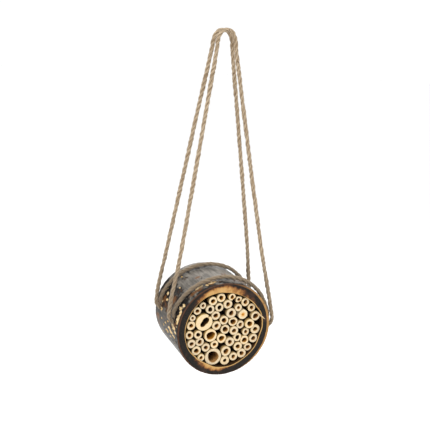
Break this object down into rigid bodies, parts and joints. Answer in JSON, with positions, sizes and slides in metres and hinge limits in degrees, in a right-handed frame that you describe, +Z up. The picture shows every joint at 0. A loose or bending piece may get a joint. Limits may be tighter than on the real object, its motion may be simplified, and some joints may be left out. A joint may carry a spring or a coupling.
{
  "type": "hanging insect hotel",
  "caption": "Short bamboo drum lying on its side, packed with cut canes as nest tubes and closed behind, hung from two cord loops that meet over one hook.",
  "frame": {"origin": "the hang point: the top of the hook on which both cord loops rest", "axes": "+Z up; Y runs through the drum, with the open front toward -Y and the closed back toward +Y; +X to the right seen from the front"},
  "size_m": [0.1375, 0.09, 0.415],
  "materials": {
    "culm": "charred bamboo culm, grey and half glossy outside, black and brown at the sawn rim",
    "back_disc": "plain thin wood, matt",
    "cane": "cut cane, pale cream ends, golden-brown hollows, matt",
    "pith_cane": "cut cane with its pith still in it and a brown spot, matt",
    "cord": "twisted natural plant-fibre cord, hairy and matt"
  },
  "bodies": {
    "root": {"drum_shell": "culm", "back_panel": "back_disc", "cane_01": "cane", "cane_02": "cane", "cane_03": "cane", "cane_04": "cane", "cane_05": "cane", "cane_06": "cane", "cane_07": "cane", "cane_08": "cane", "cane_09": "cane", "cane_10": "cane", "cane_11": "cane", "cane_12": "cane", "cane_13": "cane", "cane_14": "pith_cane", "cane_15": "cane", "cane_16": "cane", "cane_17": "cane", "cane_18": "cane", "cane_19": "cane", "cane_20": "cane", "cane_21": "cane", "cane_22": "cane", "cane_23": "cane", "cane_24": "cane", "cane_25": "cane", "cane_26": "cane", "cane_27": "cane", "cane_28": "cane", "cane_29": "cane", "cane_30": "cane", "cane_31": "cane", "cane_32": "cane", "cane_33": "cane", "cane_34": "cane", "cane_35": "cane", "cane_36": "cane", "cane_37": "cane", "cane_38": "cane", "cane_39": "cane", "cane_40": "cane", "cane_41": "cane", "cane_42": "cane", "cane_43": "cane", "cane_44": "cane", "cane_45": "cane", "cane_46": "cane", "cane_47": "cane", "cane_48": "cane", "cane_49": "cane", "front_hanger": "cord", "back_hanger": "cord", "front_band": "cord", "back_band": "cord"}
  },
  "joints": []
}
